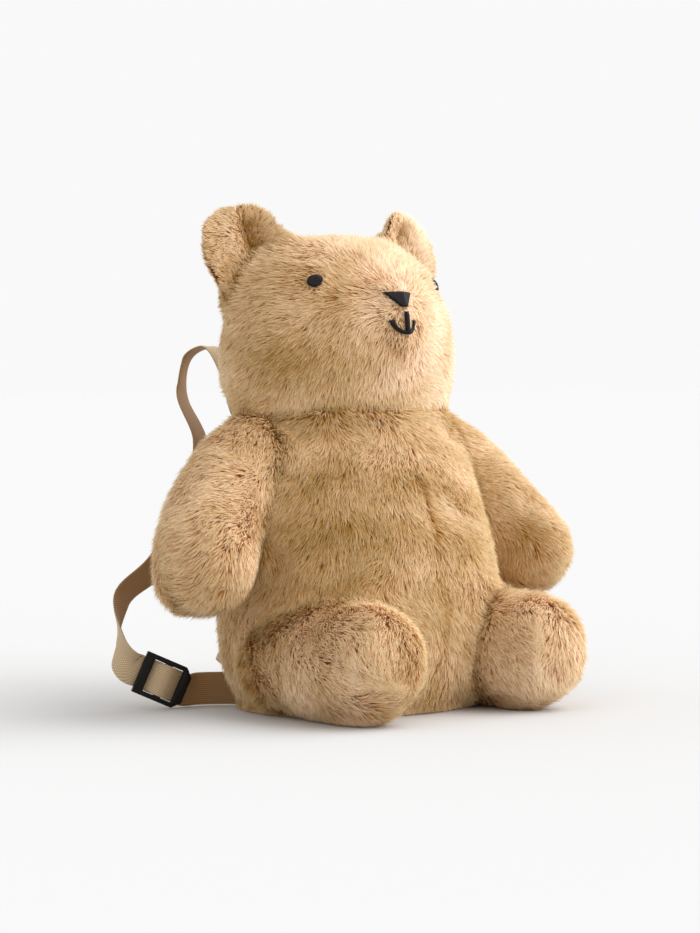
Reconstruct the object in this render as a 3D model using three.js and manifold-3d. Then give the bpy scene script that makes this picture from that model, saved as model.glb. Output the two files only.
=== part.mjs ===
// A child's plush backpack in the shape of a seated teddy bear.
// Millimetres, +Z up. The bear looks along -Y and its left side is +X. The origin is the
// middle of the flat seat that it sits on.
import * as THREE from "three";
import { mergeVertices } from "three/addons/utils/BufferGeometryUtils.js";
import Module from "manifold-3d";

const wasm = await Module();
wasm.setup();

// Torso: a padded pouch, hollow inside, open along a slot down its back
const torsoHeight = 203;
const torsoHalfWidth = 95;
const torsoFront = 82;
const torsoBack = 68;
const torsoWall = 10;
const torsoTopWall = 14;

// Zip that closes the slot
const zipBottom = 52;
const zipLength = 112;
const zipWidth = 16;
const zipThickness = 2.4;
const zipDepth = 3;
const toothPitch = 5;
const toothWidth = 6;
const toothRise = 1.2;
const toothValley = 0.2;
const zipSliderLength = 9;
const zipSliderWidth = 8;
const zipSliderRise = 3;
const pullerLength = 22;
const pullerWidth = 6;
const pullerThickness = 1.6;
const pullerClear = 1;

// Head: its chin hangs this far below the top of the torso
const headHeight = 127;
const headSink = 39;
const headHalfWidth = 83;
const headFront = 49;
const headBack = 60;
const headSetBack = 14;
const faceRidge = 14;
const faceRidgeWidth = 17;
const faceRidgeRound = 3;

// Ears
const earHeight = 62;
const earHalfWidth = 29;
const earHalfThickness = 8;
const earCup = 12;
const earTilt = 26;
const earTurn = 10;

// Arms and legs
const armHalfWidth = 34;
const armHalfThickness = 30;
const armReach = 116;
const legHalfWidth = 37;
const legHalfHeight = 36;
const legReach = 116;

// Embroidered face
const eyeWidth = 8.8;
const eyeHeight = 7.6;
const eyeAngle = 55;
const noseWidth = 21;
const noseHeight = 9;
const mouthWidth = 18;
const mouthDepth = 8;
const mouthStem = 12.8;
const mouthStroke = 2.4;
const stitchRise = 1.6;

// Shoulder straps of flat webbing, each through a plastic slide adjuster
const webbingWidth = 20;
const webbingThickness = 1.6;
const adjusterLength = 32;
const adjusterThickness = 3.2;
const adjusterRail = 3;
const adjusterEndBar = 6;
const adjusterMiddleBar = 4;
const adjusterCorner = 5;

// Space between pieces that touch
const gap = 0.3;
const webbingSlack = 0.5;

const plush = new THREE.MeshStandardMaterial({ color: 0xd9b88c, roughness: 0.95, metalness: 0 });
const webbing = new THREE.MeshStandardMaterial({ color: 0xc0a27a, roughness: 0.8, metalness: 0 });
const zipTape = new THREE.MeshStandardMaterial({ color: 0x9e7b54, roughness: 0.75, metalness: 0 });
const plastic = new THREE.MeshStandardMaterial({ color: 0x1c1a1b, roughness: 0.45, metalness: 0 });
const thread = new THREE.MeshStandardMaterial({ color: 0x17120f, roughness: 0.7, metalness: 0 });

// Cross-sections of the torso from the seat up, as shares of its height, half width and depths
const torsoRows = [
  { at: 0, half: 0.74, front: 0.74, back: 0.8 },
  { at: 0.02, half: 0.82, front: 0.82, back: 0.87 },
  { at: 0.09, half: 0.93, front: 0.92, back: 0.95 },
  { at: 0.2, half: 0.99, front: 0.99, back: 1 },
  { at: 0.33, half: 1, front: 1, back: 1 },
  { at: 0.5, half: 0.95, front: 0.93, back: 0.95 },
  { at: 0.66, half: 0.86, front: 0.79, back: 0.88 },
  { at: 0.8, half: 0.75, front: 0.6, back: 0.8 },
  { at: 0.9, half: 0.63, front: 0.42, back: 0.7 },
  { at: 0.97, half: 0.42, front: 0.28, back: 0.48 },
  { at: 1, half: 0, front: 0, back: 0 },
];

// Cross-sections of the head from the chin up
const headRows = [
  { at: 0, half: 0, front: 0, back: 0, ridge: 0 },
  { at: 0.015, half: 0.45, front: 0.5, back: 0.4, ridge: 0 },
  { at: 0.06, half: 0.74, front: 0.82, back: 0.68, ridge: 0.1 },
  { at: 0.16, half: 0.92, front: 1, back: 0.88, ridge: 0.4 },
  { at: 0.3, half: 1, front: 1.04, back: 0.98, ridge: 0.8 },
  { at: 0.45, half: 1, front: 1.02, back: 1, ridge: 1 },
  { at: 0.61, half: 0.95, front: 0.98, back: 0.98, ridge: 1 },
  { at: 0.77, half: 0.84, front: 0.88, back: 0.9, ridge: 0.6 },
  { at: 0.89, half: 0.66, front: 0.68, back: 0.73, ridge: 0.2 },
  { at: 0.97, half: 0.42, front: 0.4, back: 0.46, ridge: 0 },
  { at: 1, half: 0, front: 0, back: 0, ridge: 0 },
];

// Outlines of an arm from shoulder to paw, a leg from hip to foot and an ear from root to tip
const armRows = [
  { along: 0, wide: 0, thick: 0 },
  { along: 0.03, wide: 0.5, thick: 0.5 },
  { along: 0.12, wide: 0.76, thick: 0.78 },
  { along: 0.35, wide: 0.86, thick: 0.9 },
  { along: 0.62, wide: 0.96, thick: 1 },
  { along: 0.84, wide: 1, thick: 0.94 },
  { along: 0.96, wide: 0.62, thick: 0.6 },
  { along: 1, wide: 0, thick: 0 },
];
const legRows = [
  { along: 0, wide: 0, thick: 0 },
  { along: 0.03, wide: 0.5, thick: 0.5 },
  { along: 0.14, wide: 0.82, thick: 0.8 },
  { along: 0.4, wide: 0.95, thick: 0.92 },
  { along: 0.7, wide: 1, thick: 1 },
  { along: 0.88, wide: 0.87, thick: 0.9 },
  { along: 0.97, wide: 0.52, thick: 0.56 },
  { along: 1, wide: 0, thick: 0 },
];
const earRows = [
  { along: 0, wide: 0, thick: 0 },
  { along: 0.02, wide: 0.6, thick: 0.6 },
  { along: 0.2, wide: 0.86, thick: 1 },
  { along: 0.5, wide: 1, thick: 1 },
  { along: 0.78, wide: 0.84, thick: 0.9 },
  { along: 0.94, wide: 0.48, thick: 0.66 },
  { along: 1, wide: 0, thick: 0 },
];

// Places on the head, as shares of its half width, of its depth behind and of its height
const earRoot = { side: 0.6, rear: 0.3, up: 0.68 };
const eyeUp = 0.76;
const noseUp = 0.673;
const mouthUp = 0.516;

// Shapes of the nose and the smile, as shares of their own widths and heights
const noseBrow = 0.62;
const noseTip = 0.08;
const smileTip = 0.86;
const smileInside = 0.36;
const smileOutside = 0.4;

// Middle lines of the left arm and leg. A root is in shares of the torso's sizes, but a leg's
// height is a share of its own half height. The lines are in shares of the limb's reach.
const armRoot = { side: 0.61, rear: 0.15, up: 0.83 };
const armLine = [
  { out: 0, forward: 0, down: 0 },
  { out: 0.26, forward: 0.03, down: 0.17 },
  { out: 0.52, forward: 0.14, down: 0.5 },
  { out: 0.72, forward: 0.36, down: 0.86 },
];
const legRoot = { side: 0.6, rear: 0.15, up: 0.92 };
const legLine = [
  { out: 0, forward: 0, down: 0 },
  { out: 0.06, forward: 0.36, down: -0.01 },
  { out: 0.07, forward: 0.74, down: -0.03 },
  { out: 0.08, forward: 1.12, down: -0.05 },
];

// Routes of the straps from the nape to the bottom of the same side. A row is a point of the
// webbing's middle line, in shares of the torso's half width, back and height, and the way that
// its width leans. A row without a height stands on its edge on the floor.
const rightUpperRoute = [
  { side: -0.36, rear: 0.5, up: 0.79, leanSide: 1, leanRear: 0, leanUp: 0 },
  { side: -0.36, rear: 0.97, up: 0.87, leanSide: 1, leanRear: 0, leanUp: 0 },
  { side: -0.35, rear: 1.24, up: 1.01, leanSide: 0.95, leanRear: 0.3, leanUp: 0 },
  { side: -0.36, rear: 1.51, up: 1.09, leanSide: 0.85, leanRear: 0.5, leanUp: 0 },
  { side: -0.4, rear: 1.78, up: 1.06, leanSide: 0.8, leanRear: 0.6, leanUp: 0 },
  { side: -0.45, rear: 1.78, up: 0.95, leanSide: 0.8, leanRear: 0.6, leanUp: 0 },
  { side: -0.53, rear: 1.35, up: 0.79, leanSide: 0.85, leanRear: 0.5, leanUp: 0 },
  { side: -0.69, rear: 1.21, up: 0.6, leanSide: 1, leanRear: 0.2, leanUp: 0 },
  { side: -0.93, rear: 1.24, up: 0.43, leanSide: 1, leanRear: 0.15, leanUp: 0 },
  { side: -1.24, rear: 1.22, up: 0.325, leanSide: 0.9, leanRear: 0.4, leanUp: -0.1 },
  { side: -1.33, rear: 1.06, up: 0.2, leanSide: 0.3, leanRear: 0.8, leanUp: -0.5 },
];
const rightLowerRoute = [
  { side: -0.84, rear: 0.82 },
  { side: -0.65, rear: 0.68 },
  { side: -0.46, rear: 0.38 },
];
const rightAdjuster = { side: -1.105, rear: 0.85, alongTurn: -20, alongTilt: -24 };

const leftUpperRoute = [
  { side: 0.36, rear: 0.5, up: 0.79, leanSide: 1, leanRear: 0, leanUp: 0 },
  { side: 0.36, rear: 0.97, up: 0.87, leanSide: 1, leanRear: 0, leanUp: 0 },
  { side: 0.36, rear: 1.26, up: 0.975, leanSide: 1, leanRear: 0, leanUp: 0 },
  { side: 0.4, rear: 1.59, up: 0.965, leanSide: 1, leanRear: 0, leanUp: 0 },
  { side: 0.46, rear: 1.62, up: 0.79, leanSide: 1, leanRear: 0, leanUp: 0 },
  { side: 0.505, rear: 1.62, up: 0.55, leanSide: 1, leanRear: 0.1, leanUp: -0.1 },
  { side: 0.44, rear: 1.82, up: 0.365, leanSide: 0.9, leanRear: 0.1, leanUp: -0.3 },
  { side: 0.27, rear: 2, up: 0.217, leanSide: 0.6, leanRear: 0.1, leanUp: -0.7 },
];
const leftLowerRoute = [
  { side: 0.36, rear: 1.35 },
  { side: 0.505, rear: 0.94 },
  { side: 0.46, rear: 0.38 },
];
const leftAdjuster = { side: 0.15, rear: 1.79, alongTurn: -60, alongTilt: -20 };

// Numbers of faces round and along the soft forms
const torsoSides = 36;
const torsoLevels = 21;
const pouchSides = 24;
const pouchLevels = 13;
const headSides = 36;
const headLevels = 21;
const limbSides = 20;
const limbLevels = 15;
const earSides = 18;
const earLevels = 11;
const webbingStepsPerRow = 5;

const radians = THREE.MathUtils.degToRad;
const eachSide = [
  { name: "right", sign: -1 },
  { name: "left", sign: 1 },
];

// Reads every column of a table at count even steps, on smooth curves that never overshoot
function smooth(rows, count) {
  const read = (name, i) => rows[Math.min(Math.max(i, 0), rows.length - 1)][name];
  return Array.from({ length: count }, (_, k) => {
    const place = (k * (rows.length - 1)) / (count - 1);
    const i = Math.min(Math.floor(place), rows.length - 2);
    const t = place - i;
    const row = {};
    for (const name of Object.keys(rows[0])) {
      const [before, from, to, after] = [i - 1, i, i + 1, i + 2].map((j) => read(name, j));
      const value =
        from * (1 + 2 * t) * (1 - t) ** 2 +
        ((to - before) / 2) * t * (1 - t) ** 2 +
        to * t * t * (3 - 2 * t) +
        ((after - from) / 2) * t * t * (t - 1);
      row[name] = Math.min(Math.max(value, Math.min(from, to)), Math.max(from, to));
    }
    return row;
  });
}

// Closed body over a list of rings with equal numbers of points, closed by a point at each end
function skin(rings, firstPoint, lastPoint) {
  const sides = rings[0].length;
  const points = [...rings.flat(), firstPoint, lastPoint];
  const first = points.length - 2;
  const last = points.length - 1;
  const faces = [];
  for (let s = 0; s < sides; s++) {
    const next = (s + 1) % sides;
    faces.push(first, next, s);
    for (let r = 0; r + 1 < rings.length; r++) {
      const a = r * sides + s;
      const b = r * sides + next;
      faces.push(a, b, b + sides, a, b + sides, a + sides);
    }
    faces.push(last, (rings.length - 1) * sides + s, (rings.length - 1) * sides + next);
  }
  const geometry = new THREE.BufferGeometry().setFromPoints(points);
  geometry.setIndex(faces);
  return geometry;
}

// Body of level rings, with its own depth before and behind its middle line
function stacked(rows, levels, sides, size) {
  const sections = smooth(rows, levels);
  const ring = ({ at, half, front, back, ridge }) =>
    Array.from({ length: sides }, (_, s) => {
      const turn = (2 * Math.PI * s) / sides;
      const facesFront = Math.sin(turn) < 0;
      const x = half * size.half * Math.cos(turn);
      const y = (facesFront ? front * size.front : back * size.back) * Math.sin(turn);
      const nosed = ridge && facesFront ? ridge * ridgeAt(x) : 0;
      return new THREE.Vector3(x, size.y + y - nosed, size.bottom + at * size.height);
    });
  const middle = ({ at }) => new THREE.Vector3(0, size.y, size.bottom + at * size.height);
  const open = sections.filter(({ half }) => half > 0);
  return skin(open.map(ring), middle(sections[0]), middle(sections.at(-1)));
}

// Forward reach of the ridge down the middle of the face, at a distance to its side
function ridgeAt(x) {
  const fall = Math.hypot(x, faceRidgeRound) - faceRidgeRound;
  return faceRidge * Math.exp(-fall / faceRidgeWidth);
}

// Body of rings square to a middle line. Wide lies in the plane of the line and the reference.
function swept(line, rows, levels, sides, wide, thick, reference) {
  const sections = smooth(rows, levels).slice(1, -1);
  const rings = sections.map((row) => {
    const middle = line.getPointAt(row.along);
    const along = line.getTangentAt(row.along);
    const across = reference.clone().addScaledVector(along, -reference.dot(along)).normalize();
    const through = along.clone().cross(across);
    return Array.from({ length: sides }, (_, s) => {
      const turn = (2 * Math.PI * s) / sides;
      return middle
        .clone()
        .addScaledVector(across, row.wide * wide * Math.cos(turn))
        .addScaledVector(through, row.thick * thick * Math.sin(turn));
    });
  });
  return skin(rings, line.getPointAt(0), line.getPointAt(1));
}

function solid(geometry) {
  const bare = geometry.clone();
  bare.deleteAttribute("normal");
  bare.deleteAttribute("uv");
  const merged = mergeVertices(bare, 1e-4);
  return new wasm.Manifold(
    new wasm.Mesh({
      numProp: 3,
      vertProperties: new Float32Array(merged.attributes.position.array),
      triVerts: new Uint32Array(merged.index.array),
    }),
  );
}

function geometryOf(body) {
  const { vertProperties, triVerts } = body.getMesh();
  const geometry = new THREE.BufferGeometry();
  geometry.setAttribute("position", new THREE.BufferAttribute(vertProperties, 3));
  geometry.setIndex(new THREE.BufferAttribute(triVerts, 1));
  geometry.computeVertexNormals();
  return geometry;
}

function box(width, depth, height, x, y, z) {
  return solid(new THREE.BoxGeometry(width, depth, height).translate(x, y, z));
}

const bear = new THREE.Group();

function addPiece(name, body, material) {
  const mesh = new THREE.Mesh(geometryOf(body), material);
  mesh.name = name;
  bear.add(mesh);
}

// Torso. Each soft form can be made larger by a margin, to cut the seat of its neighbour.
function torsoForm(margin, levels = torsoLevels, sides = torsoSides) {
  const size = {
    half: torsoHalfWidth + margin,
    front: torsoFront + margin,
    back: torsoBack + margin,
    height: torsoHeight + Math.max(margin, 0),
    bottom: 0,
    y: 0,
  };
  return solid(stacked(torsoRows, levels, sides, size));
}

function pouchForm() {
  const size = {
    half: torsoHalfWidth - torsoWall,
    front: torsoFront - torsoWall,
    back: torsoBack - torsoWall,
    height: torsoHeight - torsoWall - torsoTopWall,
    bottom: torsoWall,
    y: 0,
  };
  return solid(stacked(torsoRows, pouchLevels, pouchSides, size));
}

function zipSlot(margin) {
  const reach = 2 * torsoBack;
  return box(
    zipWidth + 2 * margin,
    reach,
    zipLength + 2 * margin,
    0,
    reach / 2,
    zipBottom + zipLength / 2,
  );
}

const torso = torsoForm(0).subtract(pouchForm()).subtract(zipSlot(gap));
addPiece("torso", torso, plush);

// Distance of the torso's back from the middle at a height, with its depth less by a margin
function backAt(height, margin) {
  const rows = smooth(torsoRows, 101);
  const above = rows.findIndex(({ at }) => at * torsoHeight >= height);
  return rows[above].back * (torsoBack - margin);
}

// Zip: woven tape with a chain of teeth, a slider at its top and a puller hanging from it
function backZip() {
  const tape = torsoForm(-zipDepth).subtract(torsoForm(-zipDepth - zipThickness)).intersect(zipSlot(0));
  const outline = new THREE.Shape();
  const count = Math.floor((zipLength - zipSliderLength) / toothPitch);
  const middleFace = (height) => backAt(height, zipDepth + zipThickness / 2);
  const level = (k) => zipBottom + (k * toothPitch) / 2;
  outline.moveTo(middleFace(zipBottom), zipBottom + gap);
  for (let k = 0; k < 2 * count; k++) {
    const rise = zipThickness / 2 + (k % 2 ? toothValley : toothRise);
    outline.lineTo(middleFace(level(k)) + rise, level(k) + 2 * gap);
    outline.lineTo(middleFace(level(k + 1)) + rise, level(k + 1) + gap);
  }
  outline.lineTo(middleFace(level(2 * count)), level(2 * count));
  for (let k = 2 * count - 2; k > 0; k -= 2) {
    outline.lineTo(middleFace(level(k)), level(k));
  }
  const teeth = new THREE.ExtrudeGeometry(outline, { depth: toothWidth, bevelEnabled: false });
  teeth.applyMatrix4(new THREE.Matrix4().set(0, 0, 1, -toothWidth / 2, 1, 0, 0, 0, 0, 1, 0, 0, 0, 0, 0, 1));
  const top = zipBottom + zipLength - zipSliderLength;
  const rise = zipThickness / 2 + zipSliderRise;
  const slider = box(zipSliderWidth, rise, zipSliderLength, 0, middleFace(top) + rise / 2, top);
  const proud = zipThickness / 2 + toothRise + pullerClear + pullerThickness / 2;
  const puller = new THREE.BoxGeometry(pullerWidth, pullerThickness, pullerLength);
  puller.translate(0, 0, -pullerLength / 2);
  puller.rotateX(Math.atan2(middleFace(top - pullerLength) - middleFace(top), pullerLength));
  puller.translate(0, middleFace(top) + proud, top);
  return tape.add(solid(teeth)).add(slider).add(solid(puller));
}
addPiece("back_zip", backZip(), zipTape);

// Head, seated on the torso
const headBottom = torsoHeight - headSink;
function headForm(margin) {
  const size = {
    half: headHalfWidth + margin,
    front: headFront + margin,
    back: headBack + margin,
    height: headHeight + 2 * margin,
    bottom: headBottom - margin,
    y: headSetBack,
  };
  return solid(stacked(headRows, headLevels, headSides, size));
}

// Level of a place on the head, from its share of the head's height
function headLevel(share) {
  return headBottom + share * headHeight;
}

const torsoSeat = torsoForm(gap);
const headSeat = headForm(gap);
addPiece("head", headForm(0).subtract(torsoSeat), plush);

// Ears: thick rounded flaps, cupped to the front and seated on the head
function earForm(sign) {
  const line = new THREE.LineCurve3(new THREE.Vector3(), new THREE.Vector3(0, 0, earHeight));
  const reference = new THREE.Vector3(1, 0, 0);
  const ear = swept(line, earRows, earLevels, earSides, earHalfWidth, earHalfThickness, reference);
  const place = ear.attributes.position;
  for (let i = 0; i < place.count; i++) {
    const edge = place.getX(i) / earHalfWidth;
    place.setY(i, place.getY(i) - earCup * edge * edge);
  }
  ear.rotateY(sign * radians(earTilt));
  ear.rotateZ(sign * radians(earTurn));
  const behind = headSetBack + earRoot.rear * headBack;
  ear.translate(sign * earRoot.side * headHalfWidth, behind, headLevel(earRoot.up));
  return solid(ear);
}
for (const { name, sign } of eachSide) {
  addPiece(`ear_${name}`, earForm(sign).subtract(headSeat), plush);
}

// Limbs: stuffed sausages with a bent middle line, seated on the torso
function limbLine(root, height, shares, reach, sign) {
  const side = root.side * torsoHalfWidth;
  const rear = root.rear * torsoBack;
  const points = shares.map(
    ({ out, forward, down }) =>
      new THREE.Vector3(sign * (side + out * reach), rear - forward * reach, height - down * reach),
  );
  return new THREE.CatmullRomCurve3(points);
}

function armForm(sign) {
  const line = limbLine(armRoot, armRoot.up * torsoHeight, armLine, armReach, sign);
  const reference = new THREE.Vector3(0, 1, 0);
  return solid(swept(line, armRows, limbLevels, limbSides, armHalfWidth, armHalfThickness, reference));
}

function legForm(sign) {
  const line = limbLine(legRoot, legRoot.up * legHalfHeight, legLine, legReach, sign);
  const reference = new THREE.Vector3(1, 0, 0);
  return solid(swept(line, legRows, limbLevels, limbSides, legHalfWidth, legHalfHeight, reference));
}

for (const { name, sign } of eachSide) {
  addPiece(`arm_${name}`, armForm(sign).subtract(torsoSeat).subtract(headSeat), plush);
}
const ground = box(4 * legReach, 4 * legReach, legReach, 0, 0, -legReach / 2);
for (const { name, sign } of eachSide) {
  addPiece(`leg_${name}`, legForm(sign).subtract(torsoSeat).subtract(ground), plush);
}

// Embroidery: raised stitching that follows the head, cut out by an outline seen from one side
function stitched(outline, turn, level) {
  const reach = { depth: 2 * headFront, bevelEnabled: false, curveSegments: 8 };
  const prism = new THREE.ExtrudeGeometry(outline, reach);
  prism.rotateX(Math.PI / 2);
  prism.rotateZ(radians(turn));
  prism.translate(0, headSetBack, level);
  return headForm(gap + stitchRise).subtract(headSeat).intersect(solid(prism));
}

for (const { name, sign } of eachSide) {
  const oval = new THREE.Shape().absellipse(0, 0, eyeWidth / 2, eyeHeight / 2, 0, 2 * Math.PI);
  addPiece(`eye_${name}`, stitched(oval, sign * eyeAngle, headLevel(eyeUp)), thread);
}

const noseOutline = new THREE.Shape();
noseOutline.moveTo(-noseWidth / 2, noseHeight / 2);
noseOutline.quadraticCurveTo(0, noseHeight * noseBrow, noseWidth / 2, noseHeight / 2);
noseOutline.lineTo(noseWidth * noseTip, -noseHeight / 2);
noseOutline.lineTo(-noseWidth * noseTip, -noseHeight / 2);
addPiece("nose", stitched(noseOutline, 0, headLevel(noseUp)), thread);

// Mouth: a short upright stitch that ends in a smile
const smile = new THREE.Shape();
const stroke = mouthStroke / 2;
smile.moveTo(-stroke, mouthStem);
smile.lineTo(-stroke, stroke);
smile.quadraticCurveTo(-mouthWidth * smileInside, stroke, -mouthWidth / 2 + stroke, mouthDepth);
smile.lineTo(-mouthWidth / 2 - stroke, mouthDepth * smileTip);
smile.quadraticCurveTo(-mouthWidth * smileOutside, -stroke, 0, -stroke);
smile.quadraticCurveTo(mouthWidth * smileOutside, -stroke, mouthWidth / 2 + stroke, mouthDepth * smileTip);
smile.lineTo(mouthWidth / 2 - stroke, mouthDepth);
smile.quadraticCurveTo(mouthWidth * smileInside, stroke, stroke, stroke);
smile.lineTo(stroke, mouthStem);
addPiece("mouth", stitched(smile, 0, headLevel(mouthUp)), thread);

// Slide adjuster: a flat frame with a middle bar. Along runs with the webbing, across with its
// width, and out is the side that the webbing crosses the middle bar on.
function adjusterAxes({ alongTurn, alongTilt }) {
  const turn = radians(alongTurn);
  const tilt = radians(alongTilt);
  const level = new THREE.Vector3(Math.cos(turn), Math.sin(turn), 0);
  const along = level.clone().multiplyScalar(Math.cos(tilt)).setZ(Math.sin(tilt));
  const out = new THREE.Vector3(level.y, -level.x, 0);
  return { along, out, across: out.clone().cross(along) };
}

const slotHeight = webbingWidth + 2 * gap;
const halfLength = adjusterLength / 2;
const halfHeight = slotHeight / 2 + adjusterRail;

// Middle of an adjuster that stands on the floor on its lower corner
function adjusterMiddle({ side, rear, alongTilt }) {
  const tilt = Math.abs(radians(alongTilt));
  const height = (halfLength - adjusterCorner) * Math.sin(tilt) + halfHeight * Math.cos(tilt);
  return new THREE.Vector3(side * torsoHalfWidth, rear * torsoBack, height + gap);
}

function adjuster(place) {
  const frame = new THREE.Shape();
  frame.moveTo(-halfLength, halfHeight);
  frame.lineTo(-halfLength, -halfHeight);
  frame.lineTo(halfLength - adjusterCorner, -halfHeight);
  frame.lineTo(halfLength, -halfHeight + adjusterCorner);
  frame.lineTo(halfLength, halfHeight - adjusterCorner);
  frame.lineTo(halfLength - adjusterCorner, halfHeight);
  const plate = new THREE.ExtrudeGeometry(frame, { depth: adjusterThickness, bevelEnabled: false });
  plate.translate(0, 0, -adjusterThickness / 2);
  const slotLength = halfLength - adjusterEndBar - adjusterMiddleBar / 2;
  const slotAt = adjusterMiddleBar / 2 + slotLength / 2;
  const { along, across, out } = adjusterAxes(place);
  const setting = new THREE.Matrix4().makeBasis(along, across, out).setPosition(adjusterMiddle(place));
  return [-slotAt, slotAt].reduce(
    (body, x) => {
      const slot = new THREE.BoxGeometry(slotLength, slotHeight, 2 * adjusterThickness);
      return body.subtract(solid(slot.translate(x, 0, 0).applyMatrix4(setting)));
    },
    solid(plate.applyMatrix4(setting)),
  );
}

// Rows of a route that take the webbing under the end bars and over the middle bar
function threaded(place) {
  const { along, across, out } = adjusterAxes(place);
  const clear = adjusterThickness / 2 + webbingThickness / 2 + webbingSlack;
  const inside = halfLength - adjusterEndBar;
  const stops = [
    { along: -halfLength - adjusterEndBar, out: -clear },
    { along: -halfLength, out: -clear },
    { along: -inside, out: -clear },
    { along: -adjusterMiddleBar / 2, out: clear },
    { along: adjusterMiddleBar / 2, out: clear },
    { along: inside, out: -clear },
    { along: halfLength, out: -clear },
  ];
  return stops.map((stop) => {
    const point = adjusterMiddle(place)
      .addScaledVector(along, stop.along)
      .addScaledVector(out, stop.out);
    return { point, lean: across.clone().negate() };
  });
}

// Stops of the webbing on the rows of a route, and on the floor where a row has no height
function routed(rows) {
  const onEdge = webbingWidth / 2 + 2 * gap;
  return rows.map(({ side, rear, up, leanSide, leanRear, leanUp }) => {
    const stands = up === undefined;
    const height = stands ? onEdge : up * torsoHeight;
    const point = new THREE.Vector3(side * torsoHalfWidth, rear * torsoBack, height);
    const lean = stands ? new THREE.Vector3(0, 0, -1) : new THREE.Vector3(leanSide, leanRear, leanUp);
    return { point, lean };
  });
}

// Webbing along its stops, as a flat strip that turns with them
function strip(stops) {
  const points = stops.map(({ point }) => point);
  const line = new THREE.CatmullRomCurve3(points, false, "centripetal");
  const lean = new THREE.CatmullRomCurve3(stops.map((stop) => stop.lean));
  const steps = webbingStepsPerRow * (stops.length - 1);
  const rings = Array.from({ length: steps + 1 }, (_, k) => {
    const middle = line.getPoint(k / steps);
    const along = line.getTangent(k / steps);
    const across = lean.getPoint(k / steps);
    across.addScaledVector(along, -across.dot(along)).setLength(webbingWidth / 2);
    const through = along.cross(across).setLength(webbingThickness / 2);
    return [
      middle.clone().sub(across).sub(through),
      middle.clone().add(across).sub(through),
      middle.clone().add(across).add(through),
      middle.clone().sub(across).add(through),
    ];
  });
  return solid(skin(rings, line.getPoint(0), line.getPoint(1)));
}

const straps = [
  { name: "right", upper: rightUpperRoute, place: rightAdjuster, lower: rightLowerRoute },
  { name: "left", upper: leftUpperRoute, place: leftAdjuster, lower: leftLowerRoute },
];
for (const { name, upper, place, lower } of straps) {
  const body = strip([...routed(upper), ...threaded(place), ...routed(lower)]);
  addPiece(`strap_${name}`, body.subtract(torsoSeat).subtract(headSeat), webbing);
  addPiece(`adjuster_${name}`, adjuster(place), plastic);
}

export default bear;
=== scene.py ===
import math

import bpy
import numpy as np
from mathutils import Matrix, Vector
from mathutils.bvhtree import BVHTree


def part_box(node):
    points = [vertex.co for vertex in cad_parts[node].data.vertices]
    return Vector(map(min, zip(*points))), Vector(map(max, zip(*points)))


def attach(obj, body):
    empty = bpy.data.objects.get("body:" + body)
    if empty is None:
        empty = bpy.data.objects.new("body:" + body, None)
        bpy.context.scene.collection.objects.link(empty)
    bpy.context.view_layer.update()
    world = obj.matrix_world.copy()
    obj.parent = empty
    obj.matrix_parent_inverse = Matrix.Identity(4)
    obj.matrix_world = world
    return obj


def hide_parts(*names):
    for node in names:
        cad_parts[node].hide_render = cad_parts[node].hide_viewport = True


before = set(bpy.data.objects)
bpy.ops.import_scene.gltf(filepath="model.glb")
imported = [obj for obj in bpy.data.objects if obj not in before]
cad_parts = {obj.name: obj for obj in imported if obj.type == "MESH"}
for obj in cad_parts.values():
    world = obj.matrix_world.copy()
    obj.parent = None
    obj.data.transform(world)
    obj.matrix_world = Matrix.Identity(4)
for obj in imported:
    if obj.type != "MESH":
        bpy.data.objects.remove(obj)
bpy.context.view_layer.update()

# Stuffed plush: faux fur sewn into closed forms and filled with loose polyester. The filling
# presses the knitted backing outwards between the seams, and the long pile stands on it, so
# the backing lies well inside the outline that the tips of the pile make.
MM = 0.001
pile_length = 13 * MM
pile_tuck = 6 * MM
backing_voxel = 5.5 * MM
backing_swell = 3 * MM
seam_edge = 0.5 * MM
seam_reach = 11 * MM
stitch_edge = 1.5 * MM
stitch_reach = 8 * MM
stitch_pile_tuck = 0.8 * MM
seat_height = 8 * MM
floor_clearance = 0.3 * MM
facing_down = -0.3
normal_rounds = 5
point_rounds = 2
hollow_point_rounds = 6

# Marks where the pile was brushed up and looks darker, or lies smooth and shows its pale tips, below zero,
# and painted light and shade as well: paler on the lit right of the head, the far ear and the feet, darker
# on the cheek and across the torso. The part, the place and the radius in mm, and how much darker the mark is
brushed_and_painted_light_marks = [
    ("head", -67.5, -15, 219, 20, 0.32), ("head", -33.5, -30, 246, 12, 0.2), ("head", -21, -22, 272, 10, 0.15),
    ("head", -40, -30, 186, 26, 0.22), ("head", -10, -10, 285, 45, -0.15),
    ("head", 25, -35, 235, 42, -0.28), ("head", 20, -20, 275, 40, -0.12), ("head", 30, -25, 195, 30, -0.2),
    ("torso", -63.5, -48, 118, 32, 0.25), ("torso", -79, -44, 71, 28, 0.2), ("torso", -13, -57, 147, 16, 0.12),
    ("torso", -30, -65, 100, 50, 0.12), ("torso", 60, -50, 120, 50, 0.15), ("torso", 32, -43, 164, 30, -0.12),
    ("arm_left", 109, -42, 93, 22, 0.2), ("arm_right", -150, -39, 89, 17, 0.15),
    ("arm_right", -129, -27, 131, 34, -0.18), ("ear_right", -72, 27, 280, 40, -0.05),
    ("ear_left", 64, 26, 293, 40, -0.35), ("leg_left", 32, -97, 45, 18, 0.15),
    ("leg_left", 50, -113, 33, 45, -0.3), ("leg_right", -98, -77, 22, 40, -0.25),
]
plush_parts = ["torso", "head", "ear_right", "ear_left", "arm_right", "arm_left", "leg_right", "leg_left"]
face_parts = ["eye_right", "eye_left", "nose", "mouth"]

# The left eye is stitched a little further round the head than its solid
stitching_shift = {"eye_left": (3.1 * MM, 3.5 * MM, 0)}


def linear(code):
    channels = [int(code[i:i + 2], 16) / 255 for i in (1, 3, 5)]
    return [c / 12.92 if c <= 0.04045 else ((c + 0.055) / 1.055) ** 2.4 for c in channels] + [1.0]


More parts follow.
